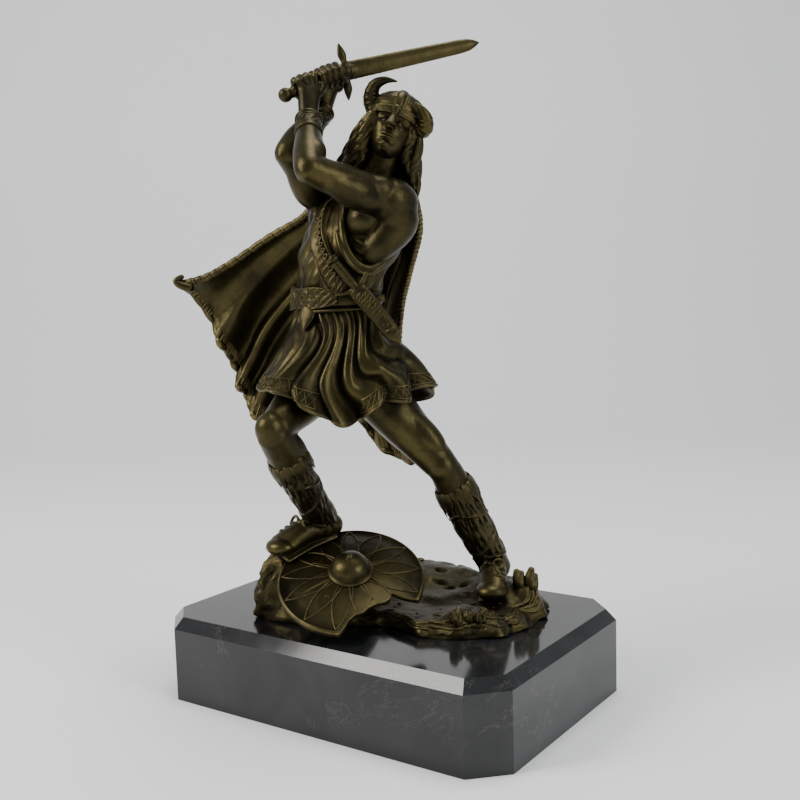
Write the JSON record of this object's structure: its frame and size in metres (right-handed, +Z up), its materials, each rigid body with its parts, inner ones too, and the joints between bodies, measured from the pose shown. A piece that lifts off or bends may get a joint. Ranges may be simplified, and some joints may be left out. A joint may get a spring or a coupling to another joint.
{
  "type": "viking warrior statue",
  "caption": "Cast bronze statuette of a horned-helmet warrior swinging a sword over a fallen shield, on a polished black marble plinth.",
  "frame": {"origin": "centre of the plinth's underside", "axes": "+Z up, +X along the plinth to the warrior's left, -Y to the long face that the warrior faces"},
  "size_m": [0.2413, 0.1615, 0.3731],
  "materials": {
    "bronze": "dark brown patina, rubbed bright on the high edges",
    "marble": "polished black stone"
  },
  "bodies": {
    "root": {"warrior_figure": "bronze", "marble_plinth": "marble"}
  },
  "joints": []
}
